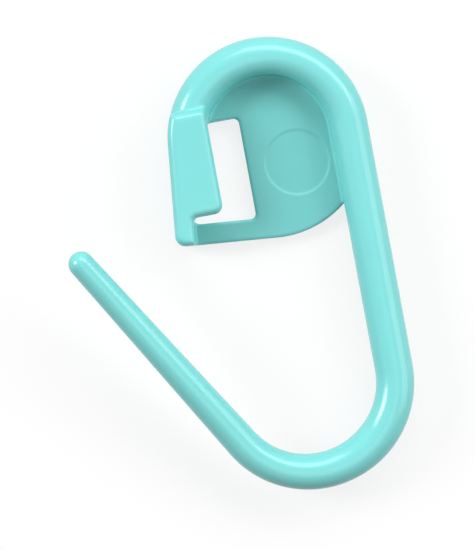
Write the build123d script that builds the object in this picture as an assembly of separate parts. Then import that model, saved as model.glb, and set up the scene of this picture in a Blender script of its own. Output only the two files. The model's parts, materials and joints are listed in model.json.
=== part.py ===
from build123d import *
import math
import os

# Locking stitch marker: one springy plastic moulding, shaped like a small safety pin.
# It hangs on a loop of knitting to mark the place, and its pin snaps into the catch.
# The head is a round plate with a dished back. A round wire runs along its far edge as
# a rim and leaves it at the side as the spine. The bow turns the wire back, and the
# tapered pin springs from the bow to the catch on the head's other side.
#
# The origin is the middle of the head's flat front face. +Z points out of the dished
# back, the bow lies towards -Y, the spine on +X and the catch on -X.
# The pin is drawn unlatched: sprung open, and bent up far enough to pass over the catch.

# Head: a round plate drawn out to one corner beside the catch
head_radius = 5.0
plate_thickness = 0.70
corner_flare = 0.5
corner_drop = 4.55
corner_radius = 0.5
front_edge_radius = 0.4

# Wire: the rim, the spine and the bow keep one height above the front face
wire_diameter = 1.90
wire_height = 1.50
spine_length = 12.35
bow_radius = 4.38
bow_end_diameter = 1.66
spine_bend_angle = 45.0
open_angle = 31.5
lift_angle = 10.0

# Pin: a straight taper with a rounded point
pin_length = 12.7
pin_tip_diameter = 1.25

# Window: the slot through the plate, inside the two straight edges at the corner
wall_thickness = 1.0
border_width = 1.05
window_side = 1.30
window_reach = 1.25
window_corner_radius = 0.25

# Catch: a wall outside the window, and a flap that reaches in over the window
flap_overhang = 1.15
flap_thickness = 0.55
flap_gap = 0.2
flap_corner_radius = 0.45
flap_root_radius = 0.2
flap_edge_radius = 0.3
catch_step = 0.7
pin_play = 0.08

# Round mark that the mould's ejector pin leaves in the dish
ejector_radius = 1.6
ejector_depth = 0.05
ejector_side = 1.2
ejector_drop = 1.45

# One overrun for every cut that has to pass right through
overrun = 1.0

# Where the sizes above put things
corner_reach = head_radius + corner_flare
wire_radius = wire_diameter / 2
wire_track = head_radius - wire_radius
dish_radius = head_radius - wire_diameter
catch_end = window_reach + catch_step
flap_end = flap_gap + border_width - corner_drop
flap_inner = wall_thickness + flap_overhang - head_radius
beyond = head_radius + corner_reach


def rectangle(x_low, x_high, y_low, y_high):
    """A flat rectangle between two limits each way."""
    return Pos((x_low + x_high) / 2, (y_low + y_high) / 2) * Rectangle(x_high - x_low, y_high - y_low)


def prism(sketch, z_low, z_high):
    """A flat outline drawn up between two heights."""
    return extrude(Pos(0, 0, z_low) * sketch, z_high - z_low)


def wire_section(centre, along, diameter):
    """A round section across the wire, square to the way that it runs."""
    return Plane(origin=centre, x_dir=(0, 0, 1), z_dir=along) * Circle(diameter / 2)


# The head's outline: a circle whose two tangents meet at the corner
corner_point = Vector(-corner_reach, -corner_drop)
corner_turn = math.degrees(math.atan2(-corner_drop, -corner_reach))
tangent_turn = math.degrees(math.acos(head_radius / corner_point.length))
round_side = CenterArc((0, 0), head_radius, corner_turn + tangent_turn, 360 - 2 * tangent_turn)
catch_side = Line(round_side @ 1, corner_point)
bow_side = Line(corner_point, round_side @ 0)
sharp_outline = make_face([round_side, catch_side, bow_side])
outline = fillet(sharp_outline.vertices().sort_by_distance(corner_point)[0], corner_radius)


def inside(edge, inset):
    """The ground on the head's side of a straight edge, from an inset onwards."""
    return Plane(origin=edge @ 0, x_dir=edge % 0, z_dir=(0, 0, 1)) * rectangle(-beyond, beyond, inset, beyond)


# The plate, rounded along its front edge, with the window and the ejector mark
blank = prism(outline, 0, plate_thickness)
plate = fillet(blank.faces().sort_by(Axis.Z)[0].edges(), front_edge_radius)
window_plan = inside(catch_side, wall_thickness) & inside(bow_side, border_width)
window_plan &= rectangle(-beyond, -window_side, -beyond, window_reach)
window_plan = fillet(window_plan.vertices(), window_corner_radius)
plate -= prism(window_plan, -overrun, plate_thickness + overrun)
ejector_plan = Pos(ejector_side, -ejector_drop) * Circle(ejector_radius)
plate -= prism(ejector_plan, plate_thickness - ejector_depth, plate_thickness + overrun)

# The rim: the wire bent round the far edge, with upright sides down to the plate.
# The dish inside is open towards the bow, and on the catch's side below the window's end.
dish_plan = Circle(dish_radius) + rectangle(-beyond, dish_radius, -beyond, 0)
dish_plan += rectangle(-beyond, 0, -beyond, window_reach)
rim_foot = prism(outline - dish_plan, plate_thickness, wire_height)
rim_wire = revolve(Plane.XZ * Pos(wire_track, wire_height) * Circle(wire_radius), Axis.Z, 180)
rim_wire &= prism(rectangle(-beyond, beyond, 0, beyond), plate_thickness, wire_height + wire_diameter)
rim = rim_foot + rim_wire
past_catch = prism(rectangle(-beyond, 0, catch_end, beyond), 0, wire_height + wire_diameter)
past_catch += prism(rectangle(0, beyond, -beyond, beyond), 0, wire_height + wire_diameter)
rim_end = prism(rectangle(-beyond, 0, window_reach, catch_end), plate_thickness, wire_height + wire_diameter)

# The spine's first stretch runs beside the plate and belongs to the head
spine_start = Vector(wire_track, 0, wire_height)
spine_join = Vector(wire_track, -corner_drop, wire_height)
spine_turn = Vector(wire_track, -spine_length, wire_height)
spine_root = extrude(wire_section(spine_start, (0, -1, 0), wire_diameter), corner_drop)
head = plate + (rim & past_catch) + spine_root

# The catch: a block on the plate with its top edges rounded, and the pin's pocket cut in
# from the inner side, which leaves the wall and the flap. The pocket is as high as the
# latched pin is thick there, and a little play. The wall goes on past the flap, at its
# full height, to the corner of the plate.
pin_taper = (bow_end_diameter - pin_tip_diameter) / pin_length
pin_at_flap = bow_end_diameter - pin_taper * (spine_length + flap_end)
flap_bottom = wire_height + pin_at_flap / 2 + pin_play
flap_top = flap_bottom + flap_thickness
block_plan = rectangle(-beyond, flap_inner, flap_end, catch_end)
block_plan = fillet(block_plan.vertices().sort_by_distance((flap_inner, flap_end))[0], flap_corner_radius)
corner_plan = rectangle(-beyond, 0, -beyond, 0) - inside(catch_side, wall_thickness)
block_plan = outline & (block_plan + corner_plan)
flap_root = block_plan.vertices().sort_by_distance((wall_thickness - corner_reach, flap_end))[0]
block_plan = fillet(flap_root, flap_root_radius)
block = prism(block_plan, plate_thickness, flap_top)
block = fillet(block.faces().sort_by(Axis.Z)[-1].edges(), flap_edge_radius)
pocket_plan = inside(catch_side, wall_thickness) & rectangle(-beyond, beyond, -beyond, window_reach)
block -= prism(pocket_plan, 0, flap_bottom)
catch = block + (rim & rim_end)

# The spine: the straight wire from the head, and the bow's first bend
bow_centre = Vector(wire_track - bow_radius, -spine_length, wire_height)
spine_run = extrude(wire_section(spine_join, (0, -1, 0), wire_diameter), spine_length - corner_drop)
bend_axis = Axis(bow_centre, (0, 0, -1))
spine_bend = revolve(wire_section(spine_turn, (0, -1, 0), wire_diameter), bend_axis, spine_bend_angle)
spine = spine_run + spine_bend

# The bow: the rest of the bend, thinning towards the pin, short of a half turn by the
# angle that the pin springs open
bow_angle = 180 - open_angle - spine_bend_angle
bow_path = CenterArc(bow_centre, bow_radius, -spine_bend_angle, -bow_angle)
middle_diameter = (wire_diameter + bow_end_diameter) / 2
bow_sections = [
    wire_section(bow_path @ 0, bow_path % 0, wire_diameter),
    wire_section(bow_path @ 0.5, bow_path % 0.5, middle_diameter),
    wire_section(bow_path @ 1, bow_path % 1, bow_end_diameter),
]
flat_bow = sweep(bow_sections, path=bow_path, multisection=True)

# The pin: drawn along X as a turned shape, then set on the bow's end
tip_radius = pin_tip_diameter / 2
pin_start = (0, bow_end_diameter / 2)
shoulder = (pin_length - tip_radius, tip_radius)
pin_profile = make_face([
    Line((0, 0), pin_start),
    Line(pin_start, shoulder),
    CenterArc((pin_length - tip_radius, 0), tip_radius, 0, 90),
    Line((pin_length, 0), (0, 0)),
])
turned_pin = revolve(pin_profile, Axis.X)
flat_pin = Plane(origin=bow_path @ 1, x_dir=bow_path % 1, z_dir=(0, 0, 1)) * turned_pin

# The wire twists where the bow leaves the spine, and that lifts the pin off the plane
lift_axis = Axis(bow_path @ 0, -(bow_path % 0))
bow = flat_bow.rotate(lift_axis, lift_angle)
pin = flat_pin.rotate(lift_axis, lift_angle)

pieces = {"head": head, "catch": catch, "spine": spine, "bow": bow, "pin": pin}
os.makedirs("parts", exist_ok=True)
for name, piece in pieces.items():
    export_step(piece, "parts/" + name + ".step")
    print(name, "volume", round(piece.volume, 3), "solids", len(piece.solids()))
print("flap underside", round(flap_bottom, 3), "flap top", round(flap_top, 3))
print("bow length", round(bow_path.length, 3), "bow volume by section", round(bow.volume / bow_path.length, 3))
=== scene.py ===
# %% [markdown]
# # A locking stitch marker
#
# A knitter hangs this little clip on a loop of yarn to mark the place. It is one springy
# plastic moulding, about as long as a thumbnail. A round plate carries the catch, a wire
# runs round the plate as a rim and leaves it as the spine, the bow turns the wire back,
# and a tapered pin springs across to the catch. It is shown unlatched, dished back up.
#
# The imported CAD model is loaded first as a fixed frame. Each piece made here sits where
# its CAD solid sits, and all but the bow ride on the same moving body.

import json
import math

import bmesh
import bpy
import numpy as np
from mathutils import Matrix, Vector


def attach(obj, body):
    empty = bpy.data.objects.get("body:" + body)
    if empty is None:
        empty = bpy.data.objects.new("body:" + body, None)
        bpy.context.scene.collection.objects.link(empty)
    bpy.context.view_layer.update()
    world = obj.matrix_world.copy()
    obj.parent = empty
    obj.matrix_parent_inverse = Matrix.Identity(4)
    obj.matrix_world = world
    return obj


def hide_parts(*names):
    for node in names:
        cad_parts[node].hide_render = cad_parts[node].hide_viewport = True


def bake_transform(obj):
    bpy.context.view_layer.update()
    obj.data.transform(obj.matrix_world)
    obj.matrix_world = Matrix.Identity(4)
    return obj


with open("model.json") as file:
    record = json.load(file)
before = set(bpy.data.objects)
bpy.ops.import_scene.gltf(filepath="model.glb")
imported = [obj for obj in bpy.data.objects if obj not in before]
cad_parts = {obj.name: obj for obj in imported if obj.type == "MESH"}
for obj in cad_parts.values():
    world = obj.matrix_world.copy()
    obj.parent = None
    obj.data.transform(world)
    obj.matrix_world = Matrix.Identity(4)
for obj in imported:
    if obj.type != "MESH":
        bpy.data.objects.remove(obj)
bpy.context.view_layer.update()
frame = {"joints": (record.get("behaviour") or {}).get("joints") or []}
joints = {joint["name"]: joint for joint in frame["joints"]}

# %% [markdown]
# ## Sizes
#
# The marker is small, so it is made in millimetres, which keeps the numbers easy to read.
# Each finished mesh is then scaled to metres in its own points, and its object stays at
# the origin, unturned and unscaled, as the CAD solids do.
#
# The origin is the middle of the plate's flat front face. +Z points out of the dished
# back, the bow lies towards -Y, the spine on +X and the catch on -X.

# %% Sizes of the moulding, in millimetres
MILLIMETRE = 0.001

HEAD_RADIUS = 5.0
PLATE_THICKNESS = 0.70
CORNER = Vector((-5.5, -4.55))
CORNER_RADIUS = 0.5
FRONT_EDGE_RADIUS = 0.4

WIRE_DIAMETER = 1.90
WIRE_HEIGHT = 1.50
WIRE_TRACK = HEAD_RADIUS - WIRE_DIAMETER / 2
SPINE_LENGTH = 12.35
BOW_RADIUS = 4.38
BOW_END_DIAMETER = 1.66
SPINE_BEND = math.radians(45)
BOW_BEND = math.radians(103.5)
PIN_LENGTH = 12.7
PIN_TIP_DIAMETER = 1.25

WALL_THICKNESS = 1.0
BORDER_WIDTH = 1.05
WINDOW_SIDE = -1.30
WINDOW_REACH = 1.25
WINDOW_CORNER_RADIUS = 0.25
WINDOW_EDGE_RADIUS = 0.13

CATCH_END = 1.95
FLAP_INNER = -2.85
FLAP_END = -3.3
FLAP_BOTTOM = 2.264
FLAP_TOP = 2.814
FLAP_ROOT_RADIUS = 0.2
FLAP_CORNER_RADIUS = 0.45
FLAP_EDGE_RADIUS = 0.4

EJECTOR_MIDDLE = Vector((1.2, -1.45))
EJECTOR_RADIUS = 1.6
EJECTOR_DEPTH = 0.05
EJECTOR_SLOPE = 0.1
PARTING_HALF_WIDTH = 0.045
print("the head is", 2 * HEAD_RADIUS, "mm across, and its wire is", WIRE_DIAMETER, "mm thick")

# %% [markdown]
# ## Small helpers
#
# A modifier or a node tree only describes a shape. Blender works the shape out when the
# object is evaluated, and `new_from_object` then gives it back as a plain mesh. Every
# piece below ends as such a plain mesh, which holds just what is seen.

# %% Turn modifiers into a plain mesh
def made_plain(thing, name):
    """The evaluated shape of an object as a new plain mesh object. The old one is removed."""
    bpy.context.view_layer.update()
    evaluated = thing.evaluated_get(bpy.context.evaluated_depsgraph_get())
    mesh = bpy.data.meshes.new_from_object(evaluated)
    mesh.name = name
    bpy.data.objects.remove(thing)
    plain = bpy.data.objects.new(name, mesh)
    bpy.context.scene.collection.objects.link(plain)
    return plain


def points_of(piece):
    """The piece's points as an array, one row for each."""
    found = np.empty(len(piece.data.vertices) * 3)
    piece.data.vertices.foreach_get("co", found)
    return found.reshape(-1, 3)


def put_points(piece, points):
    """Writes an array of points back to the piece."""
    piece.data.vertices.foreach_set("co", np.asarray(points).ravel())
    piece.data.update()


print("everything is made with Blender", bpy.app.version_string)

# %% [markdown]
# ## The plastic
#
# The moulding is one glossy turquoise plastic, and three things keep it from looking like
# a flat colour. The colour drifts very slightly where the melt flowed. The polish of the
# mould isn't even, so the gloss varies and the surface has a faint orange peel. And the
# two halves of the mould leave a hair-thin parting line half-way up every outer side.
#
# All three could be painted in an image. Here they are worked out from the place of each
# point instead, which leaves no seams and stays sharp however close the camera comes.
#
# The three effects are one node group with named inputs. Most of the skin is polished.
# The floor of the dish is matt, because the mould is eroded by sparks there. Its colour is
# also painted a little darker than the rest, as painted shade for the shadow that the rim
# and the catch throw into the dish. A mask on the mesh's points tells the floor from the rest.

# %% Node helpers
def linked(tree, socket, value):
    """Feeds a socket from another socket, or sets it to a plain value."""
    if isinstance(value, bpy.types.NodeSocket):
        tree.links.new(value, socket)
    else:
        socket.default_value = value


def number(tree, operation, *values, clamp=False):
    """A Math node on the given values."""
    node = tree.nodes.new("ShaderNodeMath")
    node.operation = operation
    node.use_clamp = clamp
    for socket, value in zip(node.inputs, values):
        linked(tree, socket, value)
    return node.outputs["Value"]


def noise(tree, place, scale, detail=2.0):
    """A soft noise on the given coordinates, centred on nought."""
    node = tree.nodes.new("ShaderNodeTexNoise")
    linked(tree, node.inputs["Vector"], place)
    node.inputs["Scale"].default_value = scale
    node.inputs["Detail"].default_value = detail
    return number(tree, "SUBTRACT", node.outputs["Fac"], 0.5)


def stored(tree, name):
    """A value that the mesh's points carry. Where a mesh lacks it, it is nought."""
    node = tree.nodes.new("ShaderNodeAttribute")
    node.attribute_name = name
    return node.outputs["Fac"]


print("four helpers add nodes to a tree: linked, number, noise and stored")

# %% The moulded surface, as a node group
# The scales are in waves to the metre, and the heights in shares of the whole bump
FLOW_SCALE = 260
POLISH_SCALE = 900
POLISH_SPREAD = 0.10
PEEL_SCALE = 1400
PEEL_HEIGHT = 0.06
SPARK_SCALE = 9000
SPARK_DETAIL = 3.0


def moulded_surface():
    """A group that puts out the colour, with painted shade on the dish's floor, and the roughness
    and height of a moulded skin.
    """
    tree = bpy.data.node_groups.new("moulded surface", "ShaderNodeTree")
    for name, kind in (("Colour", "NodeSocketColor"), ("Colour Drift", "NodeSocketFloat"),
                       ("Polished", "NodeSocketFloat"), ("Matt", "NodeSocketFloat"),
                       ("Painted Floor Shade", "NodeSocketFloat"), ("Matt Grain", "NodeSocketFloat")):
        tree.interface.new_socket(name, in_out="INPUT", socket_type=kind)
    for name, kind in (("Colour", "NodeSocketColor"), ("Roughness", "NodeSocketFloat"),
                       ("Height", "NodeSocketFloat")):
        tree.interface.new_socket(name, in_out="OUTPUT", socket_type=kind)
    given = tree.nodes.new("NodeGroupInput").outputs
    result = tree.nodes.new("NodeGroupOutput").inputs
    place = tree.nodes.new("ShaderNodeTexCoord").outputs["Object"]
    floor = stored(tree, "dish_floor")

    flow = noise(tree, place, FLOW_SCALE)
    drifted = number(tree, "MULTIPLY_ADD", flow, given["Colour Drift"], 1.0)
    # The floor's colour is made darker here: painted shade for the shadow in the dish
    painted_shade = number(tree, "MULTIPLY", floor, given["Painted Floor Shade"])
    shade = number(tree, "SUBTRACT", drifted, painted_shade)
    tint = tree.nodes.new("ShaderNodeVectorMath")
    tint.operation = "SCALE"
    linked(tree, tint.inputs[0], given["Colour"])
    linked(tree, tint.inputs["Scale"], shade)
    linked(tree, result["Colour"], tint.outputs["Vector"])

    difference = number(tree, "SUBTRACT", given["Matt"], given["Polished"])
    rougher = number(tree, "MULTIPLY", floor, difference)
    roughness = number(tree, "ADD", given["Polished"], rougher)
    polish = noise(tree, place, POLISH_SCALE)
    uneven = number(tree, "MULTIPLY_ADD", polish, POLISH_SPREAD, roughness, clamp=True)
    linked(tree, result["Roughness"], uneven)

    peel = number(tree, "MULTIPLY", noise(tree, place, PEEL_SCALE), PEEL_HEIGHT)
    sparks = noise(tree, place, SPARK_SCALE, SPARK_DETAIL)
    sparks = number(tree, "MULTIPLY", sparks, given["Matt Grain"])
    sparks = number(tree, "MULTIPLY", sparks, floor)
    seam = number(tree, "ABSOLUTE", stored(tree, "parting_distance"))
    across = number(tree, "DIVIDE", seam, PARTING_HALF_WIDTH)
    flash = number(tree, "SUBTRACT", 1.0, across, clamp=True)
    height = number(tree, "ADD", number(tree, "ADD", peel, sparks), flash)
    linked(tree, result["Height"], height)
    return tree


surface_group = moulded_surface()
print("node group:", surface_group.name, "with", len(surface_group.nodes), "nodes")

# %% The plastic itself
BUMP_HEIGHT = 0.02


def turquoise_plastic():
    """The plastic. What is the same everywhere is set on the shader itself."""
    material = bpy.data.materials.new("turquoise plastic")
    material.use_nodes = True
    tree = material.node_tree
    shader = tree.nodes["Principled BSDF"]
    surface = tree.nodes.new("ShaderNodeGroup")
    surface.node_tree = surface_group
    # The floor's colour is made 0.23 darker: painted shade in the dish
    values = {"Colour": (0.22, 0.76, 0.74, 1.0), "Colour Drift": 0.06, "Polished": 0.20,
              "Matt": 0.42, "Painted Floor Shade": 0.23, "Matt Grain": 0.15}
    for name, value in values.items():
        surface.inputs[name].default_value = value
    bump = tree.nodes.new("ShaderNodeBump")
    bump.inputs["Distance"].default_value = BUMP_HEIGHT * MILLIMETRE
    bump.inputs["Strength"].default_value = 1.0
    tree.links.new(surface.outputs["Height"], bump.inputs["Height"])
    tree.links.new(surface.outputs["Colour"], shader.inputs["Base Color"])
    tree.links.new(surface.outputs["Roughness"], shader.inputs["Roughness"])
    tree.links.new(bump.outputs["Normal"], shader.inputs["Normal"])
    shader.inputs["IOR"].default_value = 1.53
    return material


plastic = turquoise_plastic()
print("the one material is", plastic.name)

# %% [markdown]
# ## The wire
#
# The rim, spine, bow and pin are one round wire, so one Geometry Nodes tree makes them
# all. It takes a path, puts rings along it, and joins the rings into a skin. The wire can
# thin evenly from its first end to its last, and a soft start lets it begin to thin
# little by little. Where the end is rounded, as at the pin's point, the last rings are
# spaced by a sine and shrink by a cosine, which is a half ball.
#
# A Bevel on the curve would give a round wire too, but not the half ball, and its rings
# couldn't be spaced so.

# %% The tree that makes a wire
def wire_tree():
    """Geometry Nodes: a path in, a closed round wire out."""
    tree = bpy.data.node_groups.new("round wire", "GeometryNodeTree")
    sockets = (("Path", "NodeSocketGeometry"), ("First Diameter", "NodeSocketFloat"),
               ("Last Diameter", "NodeSocketFloat"), ("Soft Start", "NodeSocketFloat"),
               ("Rounded End", "NodeSocketFloat"), ("Rings", "NodeSocketInt"),
               ("Sides", "NodeSocketInt"), ("Material", "NodeSocketMaterial"))
    for name, kind in sockets:
        tree.interface.new_socket(name, in_out="INPUT", socket_type=kind)
    tree.interface.new_socket("Wire", in_out="OUTPUT", socket_type="NodeSocketGeometry")
    given = tree.nodes.new("NodeGroupInput").outputs
    result = tree.nodes.new("NodeGroupOutput").inputs

    length = tree.nodes.new("GeometryNodeCurveLength")
    linked(tree, length.inputs["Curve"], given["Path"])
    index = tree.nodes.new("GeometryNodeInputIndex").outputs["Index"]
    part = number(tree, "DIVIDE", index, number(tree, "SUBTRACT", given["Rings"], 1.0))

    # The last eighth of the rings make the half ball, if there is one
    ball_share = 0.125
    ball_rings = number(tree, "MULTIPLY", given["Rounded End"], ball_share)
    straight_share = number(tree, "SUBTRACT", 1.0, ball_rings)
    ball = number(tree, "MULTIPLY", given["Last Diameter"], 0.5)
    ball = number(tree, "MULTIPLY", ball, given["Rounded End"])
    straight = number(tree, "SUBTRACT", length.outputs["Length"], ball)
    along = number(tree, "DIVIDE", part, straight_share, clamp=True)
    along = number(tree, "MULTIPLY", along, straight)
    turn = number(tree, "SUBTRACT", part, straight_share)
    turn = number(tree, "DIVIDE", turn, ball_share, clamp=True)
    turn = number(tree, "MULTIPLY", turn, math.pi / 2)
    reach = number(tree, "MULTIPLY_ADD", number(tree, "SINE", turn), ball, along)

    rings = tree.nodes.new("GeometryNodeResampleCurve")
    linked(tree, rings.inputs["Curve"], given["Path"])
    linked(tree, rings.inputs["Count"], given["Rings"])
    sample = tree.nodes.new("GeometryNodeSampleCurve")
    sample.mode = "LENGTH"
    linked(tree, sample.inputs["Curves"], given["Path"])
    linked(tree, sample.inputs["Length"], reach)
    placed = tree.nodes.new("GeometryNodeSetPosition")
    linked(tree, placed.inputs["Geometry"], rings.outputs["Curve"])
    linked(tree, placed.inputs["Position"], sample.outputs["Position"])

    # Over the soft start the taper grows as a square, which holds it back by half that length
    soft = given["Soft Start"]
    full = number(tree, "MULTIPLY_ADD", soft, -0.5, length.outputs["Length"])
    begun = number(tree, "DIVIDE", reach, soft, clamp=True)
    held = number(tree, "MULTIPLY", begun, number(tree, "MULTIPLY_ADD", begun, -0.5, 1.0))
    tapered = number(tree, "SUBTRACT", reach, number(tree, "MULTIPLY", held, soft))
    taper = tree.nodes.new("ShaderNodeMapRange")
    linked(tree, taper.inputs["Value"], tapered)
    linked(tree, taper.inputs["From Max"], full)
    linked(tree, taper.inputs["To Min"], number(tree, "MULTIPLY", given["First Diameter"], 0.5))
    linked(tree, taper.inputs["To Max"], number(tree, "MULTIPLY", given["Last Diameter"], 0.5))
    radius = number(tree, "MULTIPLY", taper.outputs["Result"], number(tree, "COSINE", turn))

    circle = tree.nodes.new("GeometryNodeCurvePrimitiveCircle")
    linked(tree, circle.inputs["Resolution"], given["Sides"])
    circle.inputs["Radius"].default_value = 1.0
    skin = tree.nodes.new("GeometryNodeCurveToMesh")
    linked(tree, skin.inputs["Curve"], placed.outputs["Geometry"])
    linked(tree, skin.inputs["Profile Curve"], circle.outputs["Curve"])
    linked(tree, skin.inputs["Scale"], radius)
    skin.inputs["Fill Caps"].default_value = True

    # The half ball's last ring has no width: merged, it becomes one closed pole
    pole_width = 0.0005
    closed = tree.nodes.new("GeometryNodeMergeByDistance")
    linked(tree, closed.inputs["Geometry"], skin.outputs["Mesh"])
    closed.inputs["Distance"].default_value = pole_width
    real = tree.nodes.new("GeometryNodeRealizeInstances")
    linked(tree, real.inputs["Geometry"], closed.outputs["Geometry"])
    finish = tree.nodes.new("GeometryNodeSetMaterial")
    linked(tree, finish.inputs["Geometry"], real.outputs["Geometry"])
    linked(tree, finish.inputs["Material"], given["Material"])
    linked(tree, result["Wire"], finish.outputs["Geometry"])
    return tree


round_wire = wire_tree()
print("the wire's tree has", len(round_wire.nodes), "nodes")

# %% Run the tree on a path
RING_SPACING = 0.1
HARD_START = 0.001


def wire(name, path, first_diameter, last_diameter, soft_start=HARD_START, rounded_end=0.0,
         sides=64):
    """A wire along a list of points. Each input is set by its socket's identifier."""
    curve = bpy.data.curves.new(name, "CURVE")
    curve.dimensions = "3D"
    spline = curve.splines.new("POLY")
    spline.points.add(len(path) - 1)
    for point, place in zip(spline.points, path):
        point.co = (*place, 1.0)
    thing = bpy.data.objects.new(name, curve)
    bpy.context.scene.collection.objects.link(thing)
    length = sum((after - before).length for before, after in zip(path, path[1:]))
    values = {"First Diameter": first_diameter, "Last Diameter": last_diameter,
              "Soft Start": soft_start, "Rounded End": rounded_end,
              "Rings": round(length / RING_SPACING) + 1, "Sides": sides, "Material": plastic}
    modifier = thing.modifiers.new("round wire", "NODES")
    modifier.node_group = round_wire
    for item in round_wire.interface.items_tree:
        if item.name in values:
            modifier[item.identifier] = values[item.name]
    piece = made_plain(thing, name)
    print(name, "is", round(length, 2), "mm long and has", len(piece.data.polygons), "faces")
    return piece

# %% Arcs, and ends that meet
ARC_STEP = math.radians(1.5)
END_REACH = 0.03


def arc(middle, radius, first, last, height):
    """Points along a level arc, between two angles."""
    steps = max(2, round(abs(last - first) / ARC_STEP))
    turns = [first + (last - first) * step / steps for step in range(steps + 1)]
    return [Vector((middle[0] + radius * math.cos(turn), middle[1] + radius * math.sin(turn),
                    height)) for turn in turns]


def squared(piece, place, direction):
    """Sets the ring at a wire's end exactly square to the wire, to meet its neighbour."""
    points = points_of(piece)
    along = (points - np.array(place)) @ np.array(direction)
    away = np.linalg.norm(points - np.array(place), axis=1)
    near = (np.abs(along) < END_REACH) & (away < WIRE_DIAMETER)
    points[near] -= along[near, None] * np.array(direction)
    put_points(piece, points)


print("an arc turns by", round(math.degrees(ARC_STEP), 2), "degrees from point to point")

# %% [markdown]
# ## Spine, bow and pin
#
# The spine leaves the head, runs straight, and turns through the bow's first bend. The
# bow goes on from there, and the pin leaves it along its last direction. On the real
# marker they are one wire. They could be one mesh here too, but each moves with another
# body of the frame, so they are three that meet face to face.
#
# In the hand the bow bends and twists to let the pin reach the catch. The frame has two
# hinges for that, and this picture is of the pin sprung open and lifted clear, so the bow
# and the pin are turned up about the line of the first hinge, the wire's own line where
# the spine ends. The bow's first face stands off the spine's last by two thousandths of a
# millimetre, which can't be seen and lets the two turn against each other without cutting.

# %% The paths of the three pieces
HEAD_CUT = -5.9
bow_middle = Vector((WIRE_TRACK - BOW_RADIUS, -SPINE_LENGTH, WIRE_HEIGHT))
lift_joint = joints["pin_lift"]
swing_joint = joints["pin_swing"]
lift_place = Vector(lift_joint["pos_m"]) / MILLIMETRE
lift_line = Vector(lift_joint["axis"]).normalized()
bow_square = Vector(swing_joint["axis"]).normalized()
lift_turn = Matrix.Rotation(math.acos(bow_square.z), 4, lift_line)
lift = Matrix.Translation(lift_place) @ lift_turn @ Matrix.Translation(-lift_place)

spine_path = [Vector((WIRE_TRACK, HEAD_CUT, WIRE_HEIGHT))]
spine_path += arc(bow_middle, BOW_RADIUS, 0.0, -SPINE_BEND, WIRE_HEIGHT)
end_turn = SPINE_BEND + BOW_BEND
flat_bow = arc(bow_middle, BOW_RADIUS, -SPINE_BEND, -end_turn, WIRE_HEIGHT)
bow_path = [lift @ point for point in flat_bow]
pin_line = lift_turn @ Vector((-math.sin(end_turn), -math.cos(end_turn), 0.0))
pin_path = [bow_path[-1], bow_path[-1] + pin_line * PIN_LENGTH]
print("the bow is lifted by", round(math.degrees(math.acos(bow_square.z)), 2), "degrees")
print("it starts", round((bow_path[0] - lift_place).length, 4), "mm from the hinge's place")

# %% Make the spine, the bow and the pin
TAPER_START = 1.5
HINGE_GAP = 0.002

spine = wire("spine_wire", spine_path, WIRE_DIAMETER, WIRE_DIAMETER)
bow = wire("bow_wire", bow_path, WIRE_DIAMETER, BOW_END_DIAMETER, soft_start=TAPER_START)
pin = wire("pin_wire", pin_path, BOW_END_DIAMETER, PIN_TIP_DIAMETER, rounded_end=1.0)
first_way = (bow_path[1] - bow_path[0]).normalized()
squared(spine, bow_path[0], lift_line)
squared(bow, bow_path[0] + first_way * HINGE_GAP, lift_line)
squared(bow, bow_path[-1], pin_line)

# %% [markdown]
# ## The head
#
# The head is a plate, a rim, a catch with its flap, and the root of the spine, all run
# together. Joining such shapes edge by edge would need a Boolean and then dozens of tiny
# fillets. A mould doesn't have sharp inner corners, and voxels give that for nothing: the
# shapes are made as simple closed shells that overlap, Remesh wraps them in one skin, and
# a little smoothing leaves the small round that a moulding has in every corner.

# %% Corners rounded off a flat outline
ROUND_STEPS = 8


def rounded(corners):
    """An outline from its corners, each given as its point and the radius to round it by."""
    result = []
    for place, (here, size) in enumerate(corners):
        if not size:
            result.append(here)
            continue
        back = (corners[place - 1][0] - here).normalized()
        on = (corners[(place + 1) % len(corners)][0] - here).normalized()
        half = back.angle(on) / 2
        middle = here + (back + on).normalized() * size / math.sin(half)
        start = here + back * size / math.tan(half) - middle
        sweep = math.pi - 2 * half
        side = 1 if back.x * on.y - back.y * on.x < 0 else -1
        for step in range(ROUND_STEPS + 1):
            turn = side * sweep * step / ROUND_STEPS
            result.append(middle + Vector((start.x * math.cos(turn) - start.y * math.sin(turn),
                                           start.x * math.sin(turn) + start.y * math.cos(turn))))
    return result


def meeting(first_point, first_line, second_point, second_line):
    """Where two straight lines in the plan meet."""
    cross = first_line.x * second_line.y - first_line.y * second_line.x
    gap = second_point - first_point
    return first_point + first_line * ((gap.x * second_line.y - gap.y * second_line.x) / cross)


print("a corner is rounded off in", ROUND_STEPS, "steps")

# %% The plan of the head
corner_turn = math.atan2(CORNER.y, CORNER.x)
tangent_turn = math.acos(HEAD_RADIUS / CORNER.length)
catch_turn = corner_turn - tangent_turn
bow_turn = corner_turn + tangent_turn
catch_touch = HEAD_RADIUS * Vector((math.cos(catch_turn), math.sin(catch_turn)))
bow_touch = HEAD_RADIUS * Vector((math.cos(bow_turn), math.sin(bow_turn)))
catch_line = (CORNER - catch_touch).normalized()
bow_line = (bow_touch - CORNER).normalized()
catch_inward = Vector((-catch_line.y, catch_line.x))
bow_inward = Vector((-bow_line.y, bow_line.x))


def plan_arc(radius, first, last):
    """Points along an arc round the head's middle, in the plan."""
    return [point.xy for point in arc((0.0, 0.0), radius, first, last, 0.0)]


far_side = plan_arc(HEAD_RADIUS, bow_turn, catch_turn + 2 * math.pi)
corner_side = rounded([(catch_touch, 0.0), (CORNER, CORNER_RADIUS), (bow_touch, 0.0)])
head_plan = far_side + corner_side[1:-1]
print("the straight sides touch the circle at", tuple(round(x, 2) for x in catch_touch), "and",
      tuple(round(x, 2) for x in bow_touch))

# %% Upright shells, and what is done to them
BEVEL_STEPS = 6
EASE_STEPS = 3
SHARP_EDGE = math.radians(60)


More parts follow.
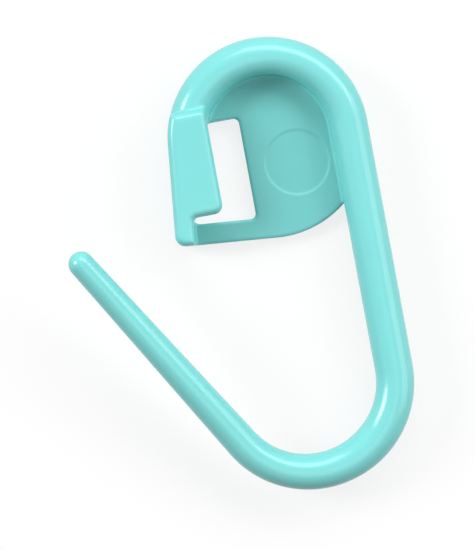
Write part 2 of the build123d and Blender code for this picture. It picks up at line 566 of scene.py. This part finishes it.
def shell(name, plan, low, high, edge_radius=0.0, rounded_side="top"):
    """A closed shell over a plan. A Bevel may round the edge round its top or bottom."""
    shape = bmesh.new()
    bottom = [shape.verts.new((point.x, point.y, low)) for point in plan]
    top = [shape.verts.new((point.x, point.y, high)) for point in plan]
    shape.faces.new(reversed(bottom))
    shape.faces.new(top)
    for place in range(len(plan)):
        after = (place + 1) % len(plan)
        shape.faces.new((bottom[place], bottom[after], top[after], top[place]))
    weight = shape.edges.layers.float.new("bevel_weight_edge")
    chosen = set(top if rounded_side == "top" else bottom)
    for edge in shape.edges:
        edge[weight] = 1.0 if edge_radius and chosen.issuperset(edge.verts) else 0.0
    mesh = bpy.data.meshes.new(name)
    shape.to_mesh(mesh)
    shape.free()
    thing = bpy.data.objects.new(name, mesh)
    bpy.context.scene.collection.objects.link(thing)
    if edge_radius:
        bevel = thing.modifiers.new("rounded edge", "BEVEL")
        bevel.limit_method = "WEIGHT"
        bevel.width = edge_radius
        bevel.segments = BEVEL_STEPS
        bevel.use_clamp_overlap = False
    return made_plain(thing, name)


def eased(piece, edge_radius):
    """The piece with a small round on every sharp edge."""
    bevel = piece.modifiers.new("small rounds", "BEVEL")
    bevel.limit_method = "ANGLE"
    bevel.angle_limit = SHARP_EDGE
    bevel.width = edge_radius
    bevel.segments = EASE_STEPS
    return made_plain(piece, piece.name)


def cut_away(piece, cutter):
    """The piece with the cutter's room taken out of it."""
    boolean = piece.modifiers.new("cut", "BOOLEAN")
    boolean.operation = "DIFFERENCE"
    boolean.solver = "EXACT"
    boolean.object = cutter
    return made_plain(piece, piece.name)


print("a shell's edge is rounded in", BEVEL_STEPS, "steps, and a cut edge is eased in", EASE_STEPS)

# %% [markdown]
# ### The plate and its window
#
# The plate is flat on the front, which rests on the knitting, and its front edge is well
# rounded so that it doesn't snag. The window is what the mould's core came in through
# to shape the underside of the flap, and its sides follow the two straight sides of the
# plate. Its edges are eased by a Bevel here, because the voxels below would turn a sharp
# slanting edge into little waves.

# %% Plate and window
BELOW_PLATE = -1.0
ABOVE_PLATE = 2.0


def beside_catch(height, inset):
    """The point at that height in the plan, that far inside the catch's straight side."""
    start = catch_touch + catch_inward * inset
    return start + catch_line * ((height - start.y) / catch_line.y)


border_point = CORNER + bow_inward * BORDER_WIDTH
wall_point = beside_catch(0.0, WALL_THICKNESS)
wall_foot = meeting(wall_point, catch_line, border_point, bow_line)
window_foot = meeting(border_point, bow_line, Vector((WINDOW_SIDE, 0.0)), Vector((0.0, 1.0)))
window_plan = [wall_foot, window_foot, Vector((WINDOW_SIDE, WINDOW_REACH)),
               beside_catch(WINDOW_REACH, WALL_THICKNESS)]
rounded_window = rounded([(point, WINDOW_CORNER_RADIUS) for point in window_plan])

plate = shell("plate", head_plan, 0.0, PLATE_THICKNESS, FRONT_EDGE_RADIUS, "bottom")
window = shell("window", rounded_window, BELOW_PLATE, ABOVE_PLATE)
plate = eased(cut_away(plate, window), WINDOW_EDGE_RADIUS)
bpy.data.objects.remove(window)
print("the window is", round(window_plan[2].x - window_plan[3].x, 2),
      "mm wide at its end away from the corner")

# %% [markdown]
# ### Rim and spine root
#
# One wire runs from the catch round the far side of the plate and down past it. A ring and
# a rod would give its two parts, but a mark would be left where they meet. One run of the
# wire's tree leaves none. Under the rim the wire has a foot with upright sides, which makes
# the dish. The foot stops where the wire leaves the plate.

# %% Rim, foot and spine root
RIM_END_TURN = math.radians(168)
SPARE_WIRE = 0.5

rim_path = arc((0.0, 0.0), WIRE_TRACK, RIM_END_TURN, 0.0, WIRE_HEIGHT)
rim_path.append(Vector((WIRE_TRACK, HEAD_CUT - SPARE_WIRE, WIRE_HEIGHT)))
rim = wire("rim", rim_path, WIRE_DIAMETER, WIRE_DIAMETER, sides=96)

dish_radius = HEAD_RADIUS - WIRE_DIAMETER
foot_turn = -math.acos(dish_radius / HEAD_RADIUS)
foot_plan = plan_arc(HEAD_RADIUS, foot_turn, RIM_END_TURN)
foot_plan += plan_arc(dish_radius, RIM_END_TURN, 0.0)
foot = shell("foot", foot_plan, PLATE_THICKNESS / 2, WIRE_HEIGHT)
print("the dish is", round(2 * dish_radius, 2), "mm across")

# %% [markdown]
# ### The catch
#
# A wall stands on the plate outside the window, and a flap reaches in from its top over
# the window, so that the pin snaps in under it. A block with rounded top edges gives both
# once a pocket is cut out from the inner side. The pocket also trims the rim's end flush
# with the end of the window. Past the flap the wall goes on at its full height to the
# corner of the plate, and where the flap springs from it the inner corner is rounded.

# %% The block's plan
block_turn = math.pi - math.asin(CATCH_END / HEAD_RADIUS)
rim_side = HEAD_RADIUS * Vector((math.cos(block_turn), math.sin(block_turn)))
wall_end = meeting(wall_point, catch_line, CORNER, bow_line)
flap_root = beside_catch(FLAP_END, WALL_THICKNESS)
before_arc = rounded([(wall_end, 0.0), (flap_root, FLAP_ROOT_RADIUS),
                      (Vector((FLAP_INNER, FLAP_END)), FLAP_CORNER_RADIUS),
                      (Vector((FLAP_INNER, CATCH_END)), 0.0), (rim_side, 0.0)])
outer_arc = plan_arc(HEAD_RADIUS, block_turn, catch_turn + 2 * math.pi)
after_arc = rounded([(catch_touch, 0.0), (CORNER, CORNER_RADIUS), (wall_end, 0.0)])
block_plan = before_arc + outer_arc[1:] + after_arc[1:-1]
print("the block's plan has", len(block_plan), "points")

# %% Wall, flap and pocket
PAST_CORNER = -6.0
ABOVE_WIRE = 4.0

pocket_plan = [beside_catch(PAST_CORNER, WALL_THICKNESS), Vector((0.0, PAST_CORNER)),
               Vector((0.0, WINDOW_REACH)), beside_catch(WINDOW_REACH, WALL_THICKNESS)]
pocket = shell("pocket", pocket_plan, BELOW_PLATE, FLAP_BOTTOM)
tall_pocket = shell("tall pocket", pocket_plan, PLATE_THICKNESS, ABOVE_WIRE)
block = shell("block", block_plan, PLATE_THICKNESS / 2, FLAP_TOP, FLAP_EDGE_RADIUS)
block = cut_away(block, pocket)
rim = cut_away(rim, tall_pocket)
foot = cut_away(foot, tall_pocket)
for cutter in (pocket, tall_pocket):
    bpy.data.objects.remove(cutter)
print("the flap is", round(FLAP_TOP - FLAP_BOTTOM, 2), "mm thick and its pocket is",
      round(FLAP_BOTTOM - PLATE_THICKNESS, 2), "mm high over the plate")

# %% [markdown]
# ### One skin
#
# The overlapping shells go into one mesh. The voxel Remesh keeps only what is outside,
# and Smooth rounds each edge and corner by about a tenth of a millimetre. The wire's end
# is then cut square, and the last stretch of wire is drawn out to its exact radius, so
# that the spine meets it without a step.

# %% Wrap the head in one skin
VOXEL = 0.064
SMOOTH_SHARE = 0.5
SMOOTH_TIMES = 6

together = bmesh.new()
for part in (plate, rim, foot, block):
    together.from_mesh(part.data)
    bpy.data.objects.remove(part)
mesh = bpy.data.meshes.new("head and catch")
together.to_mesh(mesh)
together.free()
head = bpy.data.objects.new("head_and_catch", mesh)
bpy.context.scene.collection.objects.link(head)
wrap = head.modifiers.new("one skin", "REMESH")
wrap.mode = "VOXEL"
wrap.voxel_size = VOXEL
soften = head.modifiers.new("small rounds", "SMOOTH")
soften.factor = SMOOTH_SHARE
soften.iterations = SMOOTH_TIMES
head = made_plain(head, "head_and_catch")
print("the skin has", len(head.data.polygons), "faces")

# %% Cut the wire's end square
shape = bmesh.new()
shape.from_mesh(head.data)
everything = shape.verts[:] + shape.edges[:] + shape.faces[:]
cut = bmesh.ops.bisect_plane(shape, geom=everything, plane_co=(0.0, HEAD_CUT, 0.0),
                             plane_no=(0.0, -1.0, 0.0), clear_outer=True)
end_ring = [item for item in cut["geom_cut"] if isinstance(item, bmesh.types.BMEdge)]
bmesh.ops.contextual_create(shape, geom=end_ring)
for face in shape.faces:
    face.smooth = True
for edge in end_ring:
    edge.smooth = False
bmesh.ops.recalc_face_normals(shape, faces=shape.faces)
shape.to_mesh(head.data)
shape.free()
print("the cut has", len(end_ring), "edges")

# %% True the wire up
# From where the wire leaves the plate, its radius is set right, more and more over the ramp.
# Only points near the wire's skin are moved, so the plate beside it stays as it is. The two
# shares of the wire's diameter say how near the skin that is, within it and beyond it.
WIRE_FREE = -4.1
RAMP = 1.2
WITHIN_SKIN = 0.3
BEYOND_SKIN = 0.6

points = points_of(head)
offset = points[:, [0, 2]] - (WIRE_TRACK, WIRE_HEIGHT)
radius = np.maximum(np.hypot(*offset.T), 1e-6)
near_skin = (radius > WITHIN_SKIN * WIRE_DIAMETER) & (radius < BEYOND_SKIN * WIRE_DIAMETER)
on_wire = near_skin & (points[:, 0] > WIRE_TRACK - WIRE_DIAMETER)
free = np.clip((WIRE_FREE - points[:, 1]) / RAMP, 0.0, 1.0) * on_wire
lost = float(np.mean(WIRE_DIAMETER / 2 - radius[free > 0.99]))
print("the wire had lost", round(lost, 4), "mm of its radius")
points[:, [0, 2]] += offset * (free * (WIRE_DIAMETER / 2 / radius - 1.0))[:, None]
put_points(head, points)

# %% [markdown]
# ### The ejector mark
#
# A round pin in the mould pushed the soft moulding out, and it left a shallow round in
# the dish. A bump in the plastic would be enough from a distance. It is pressed into the
# mesh, a twentieth of a millimetre deep, because a real step also holds close up.

# %% Press the ejector mark
FLOOR_REACH = 0.03

points = points_of(head)
from_middle = np.hypot(points[:, 0] - EJECTOR_MIDDLE.x, points[:, 1] - EJECTOR_MIDDLE.y)
in_floor = np.abs(points[:, 2] - PLATE_THICKNESS) < FLOOR_REACH
within = (EJECTOR_RADIUS + EJECTOR_SLOPE / 2 - from_middle) / EJECTOR_SLOPE
pressed = np.clip(within, 0.0, 1.0)
points[:, 2] -= EJECTOR_DEPTH * pressed * pressed * (3 - 2 * pressed) * in_floor
put_points(head, points)
print("the mark is", 2 * EJECTOR_RADIUS, "mm across")

# %% [markdown]
# ## The parting line
#
# A mould's halves never close quite tight, so a hair of plastic stands up all round where
# they met. A real ridge that thin would need rows of very fine faces, so it is a bump.
# Each point of a piece is given its distance from the plane where the halves met, as an
# attribute that the plastic reads. On the wire that plane passes through the wire's
# middle. On the head only the outer sides have the line. The lifted bow is twisted about
# its own line, so along it the plane turns little by little, from the spine's to the
# pin's.

# %% Store a value on every point
def store(piece, name, values):
    """Gives each point of the piece a value that its material can read by name."""
    attribute = piece.data.attributes.new(name, "FLOAT", "POINT")
    attribute.data.foreach_set("value", values.astype(np.float32))


def mark_parting(piece, distance, shown=True):
    """Stores each point's distance from the parting plane, in millimetres."""
    distance = np.where(shown, distance, np.sign(distance))
    store(piece, "parting_distance", distance)
    print(piece.name, "has", int(np.sum(np.abs(distance) < PARTING_HALF_WIDTH)),
          "points on its parting line")


def upward_normals(piece):
    """How far each point's normal looks up: 1 is straight up, and -1 straight down."""
    normals = np.empty(len(piece.data.vertices) * 3)
    piece.data.vertex_normals.foreach_get("vector", normals)
    return normals.reshape(-1, 3)[:, 2]


print(int(np.sum(upward_normals(head) < 0.0)), "points of the head look down")

# %% The parting line on the head, the spine and the pin
UPRIGHT = 0.6
SKIN_DEPTH = 0.15
STRAIGHT_SIDE_START = 0.6
WIRE_SIDE = 2.9

points = points_of(head)
catch_inset = (points[:, :2] - np.array(catch_touch)) @ np.array(catch_inward)
on_circle = np.hypot(points[:, 0], points[:, 1]) > HEAD_RADIUS - SKIN_DEPTH
on_side = (catch_inset < SKIN_DEPTH) & (points[:, 1] < STRAIGHT_SIDE_START)
on_free_wire = (points[:, 1] < WIRE_FREE) & (points[:, 0] > WIRE_SIDE)
shown = (np.abs(upward_normals(head)) < UPRIGHT) & (on_circle | on_side | on_free_wire)
mark_parting(head, points[:, 2] - WIRE_HEIGHT, shown)
mark_parting(spine, points_of(spine)[:, 2] - WIRE_HEIGHT)
mark_parting(pin, (points_of(pin) - np.array(bow_path[-1])) @ np.array(bow_square))

# %% The parting line on the twisted bow
# The bow's points are turned back into the flat to find how far along it each one is
back_turn = np.array(lift_turn.to_3x3())
laid_flat = (points_of(bow) - np.array(lift_place)) @ back_turn + np.array(lift_place)
across = laid_flat[:, :2] - np.array(bow_middle.xy)
outward = np.hypot(*across.T) - BOW_RADIUS
upward = laid_flat[:, 2] - WIRE_HEIGHT
still_to_turn = 1.0 + (SPINE_BEND + np.arctan2(across[:, 1], across[:, 0])) / BOW_BEND
spine_up = lift_turn.to_3x3().inverted() @ Vector((0.0, 0.0, 1.0))
bow_outward = (flat_bow[0] - bow_middle).xy.normalized()
full_twist = math.atan2(spine_up.xy.dot(bow_outward), spine_up.z)
twist = full_twist * still_to_turn
mark_parting(bow, upward * np.cos(twist) + outward * np.sin(twist))

# %% [markdown]
# ## The matt floor
#
# The dish's floor is matt and the rest is polished, and its colour carries painted shade.
# A second material on the floor's faces would show that too, but its border would follow
# the faces in steps. Here each point has a share in the floor instead, which the plastic
# reads. It is large where the point lies at the floor's height and its normal looks up, and it
# fades out over a short way.

# %% Mark the floor of the dish
LEVEL_STARTS = 0.75
LEVEL_RISES_OVER = 0.2
FLOOR_FADE = 0.06

points = points_of(head)
level = np.clip((upward_normals(head) - LEVEL_STARTS) / LEVEL_RISES_OVER, 0.0, 1.0)
floor_height = PLATE_THICKNESS - EJECTOR_DEPTH / 2
in_dish = np.clip(1.5 - np.abs(points[:, 2] - floor_height) / FLOOR_FADE, 0.0, 1.0)
# The plastic also uses this share to darken the floor's colour, as painted shade in the dish
store(head, "dish_floor", level * in_dish)
print(int(np.sum(level * in_dish > 0.5)), "points are on the matt floor of the dish")

# %% [markdown]
# ## Into the frame
#
# The pieces are scaled to metres and take their places. The head and the spine are the
# still body. The pin rides on its own body. The bow is what springs, and the real wire
# turns little by little along it, but here the bow stays where it was made and rides on no body.

# %% Finish and scale each piece
SHARP_WIRE_EDGE = math.radians(40)

head.data.materials.append(plastic)
for piece in (head, spine, bow, pin):
    piece.data.transform(Matrix.Scale(MILLIMETRE, 4))
    if piece is not head:
        piece.data.set_sharp_from_angle(angle=SHARP_WIRE_EDGE)
    print(piece.name, "has", len(piece.data.vertices), "points")

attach(head, "clasp")
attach(spine, "clasp")
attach(pin, "pin")
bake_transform(bow)
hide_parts("head", "catch")
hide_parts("spine")
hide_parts("bow")
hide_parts("pin")

# %% [markdown]
# ## Studio
#
# The photograph is a shop picture from straight above on white. A long lens at a distance
# keeps the upright sides of the moulding from spreading outwards in the picture. The
# marker leans a little in the photograph, so the camera is turned by that angle instead,
# and the marker stays square to the frame.

# %% Camera straight above
LEAN = math.radians(10.5)
VIEW_LENS = 300.0
SENSOR_WIDTH = 36.0
VIEW_HEIGHT_SHOWN = 27.5 * MILLIMETRE
aim = Vector((-2.75, -6.45, 0.0)) * MILLIMETRE
camera_data = bpy.data.cameras.new("camera")
camera_data.lens = VIEW_LENS
camera_data.sensor_width = SENSOR_WIDTH
camera = bpy.data.objects.new("camera", camera_data)
bpy.context.scene.collection.objects.link(camera)
distance = VIEW_HEIGHT_SHOWN * VIEW_LENS / SENSOR_WIDTH
camera.location = aim + Vector((0.0, 0.0, distance))
camera.rotation_euler = (0.0, 0.0, -LEAN)
bpy.context.scene.camera = camera
print("the camera is", round(distance / MILLIMETRE), "mm above the floor")

# %% [markdown]
# ### Lamps
#
# The photograph's light is soft and comes from more than one side, so there are four area
# lamps. The narrow streak on the upright wires comes from a bright softbox on the left, and
# the wide pale band on the bow from a long one beyond the far edge, which also makes the
# rim throw its shadow into the dish. A large faint one on the right keeps that side from
# going dark, and a fainter one near the camera gives the lifted pin its pale sheen.

# %% Four softboxes
LAMP_DISTANCE = 0.6


def towards(right, up, height):
    """A direction as the photograph shows it: right and up in the picture, and out of it."""
    turned = Matrix.Rotation(-LEAN, 3, "Z") @ Vector((right, up, height))
    return turned.normalized()


def softbox(name, direction, width, height, brightness):
    """A lamp that looks at the marker and is so many times as bright as white paper."""
    data = bpy.data.lights.new(name, "AREA")
    data.shape = "RECTANGLE"
    data.size = width
    data.size_y = height
    data.energy = brightness * math.pi * width * height
    lamp = bpy.data.objects.new(name, data)
    lamp.location = aim + direction * LAMP_DISTANCE
    lamp.rotation_euler = (-direction).to_track_quat("-Z", "Y").to_euler()
    bpy.context.scene.collection.objects.link(lamp)
    print(name, "gives", round(data.energy, 2), "watts")


softbox("left softbox", towards(-0.81, 0.22, 0.55), width=0.22, height=0.22, brightness=14.0)
softbox("far softbox", towards(0.27, 0.68, 0.68), width=0.75, height=0.25, brightness=4.4)
softbox("right softbox", towards(0.85, 0.10, 0.48), width=0.50, height=0.40, brightness=2.0)
softbox("near softbox", towards(0.20, -0.28, 0.94), width=0.32, height=0.32, brightness=1.1)

# %% [markdown]
# ### World and floor
#
# The world only fills the shadows a little, because an open sky would light the dish's
# corners from every side. The floor is white and most of what the camera sees of it glows,
# which keeps the background white and still lets a soft shadow show. Away from the marker
# it glows in full, so that the horizon can't be seen from low down. For the rest of the
# light the floor is a mid grey, which keeps it from lighting the marker from below.

# %% White surroundings
FILL = 0.08


def seen_by_camera(tree):
    """1 where the camera sees something straight, mirrored or through glass, and else 0."""
    ray = tree.nodes.new("ShaderNodeLightPath").outputs
    mirrored = number(tree, "MAXIMUM", ray["Is Camera Ray"], ray["Is Glossy Ray"])
    return number(tree, "MAXIMUM", mirrored, ray["Is Transmission Ray"])


world = bpy.data.worlds.new("studio")
bpy.context.scene.world = world
world.use_nodes = True
world_tree = world.node_tree
strength = number(world_tree, "MULTIPLY_ADD", seen_by_camera(world_tree), 1.0 - FILL, FILL)
background = world_tree.nodes["Background"]
background.inputs["Color"].default_value = (1.0, 1.0, 1.0, 1.0)
linked(world_tree, background.inputs["Strength"], strength)
print("the world fills the shadows at", FILL, "of white")

# %% The white table
FLOOR_HALF = 3.0
PAPER_SHADE = 0.42
GLOW_BY_MARKER = 0.8
GLOW_STARTS = 0.05
GLOW_RISES_OVER = 0.15

table = bpy.data.meshes.new("white_table")
sides = ((-1, -1), (1, -1), (1, 1), (-1, 1))
table.from_pydata([(x * FLOOR_HALF, y * FLOOR_HALF, 0.0) for x, y in sides], [], [(0, 1, 2, 3)])
floor = bpy.data.objects.new("white_table", table)
bpy.context.scene.collection.objects.link(floor)
paper = bpy.data.materials.new("white paper")
paper.use_nodes = True
paper_tree = paper.node_tree
seen = seen_by_camera(paper_tree)
matt = paper_tree.nodes["Principled BSDF"]
shade = number(paper_tree, "MULTIPLY_ADD", seen, 1.0 - PAPER_SHADE, PAPER_SHADE)
linked(paper_tree, matt.inputs["Base Color"], shade)
matt.inputs["Roughness"].default_value = 1.0
matt.inputs["Specular IOR Level"].default_value = 0.0
glow = paper_tree.nodes.new("ShaderNodeEmission")
glow.inputs["Strength"].default_value = 1.0
mix = paper_tree.nodes.new("ShaderNodeMixShader")
place = paper_tree.nodes.new("ShaderNodeTexCoord").outputs["Object"]
away = paper_tree.nodes.new("ShaderNodeVectorMath")
away.operation = "LENGTH"
linked(paper_tree, away.inputs[0], place)
beyond = number(paper_tree, "SUBTRACT", away.outputs["Value"], GLOW_STARTS)
beyond = number(paper_tree, "DIVIDE", beyond, GLOW_RISES_OVER, clamp=True)
glowing = number(paper_tree, "MULTIPLY_ADD", beyond, 1.0 - GLOW_BY_MARKER, GLOW_BY_MARKER)
linked(paper_tree, mix.inputs["Fac"], number(paper_tree, "MULTIPLY", seen, glowing))
paper_tree.links.new(matt.outputs["BSDF"], mix.inputs[1])
paper_tree.links.new(glow.outputs["Emission"], mix.inputs[2])
paper_tree.links.new(mix.outputs["Shader"], paper_tree.nodes["Material Output"].inputs["Surface"])
floor.data.materials.append(paper)
print("the table is", 2 * FLOOR_HALF, "m wide")

# %% [markdown]
# ## Colour view
#
# The Standard view shows colours as they are, without the softer contrast that Blender
# gives by default.

# %% Show colours as they are
bpy.context.scene.view_settings.view_transform = "Standard"
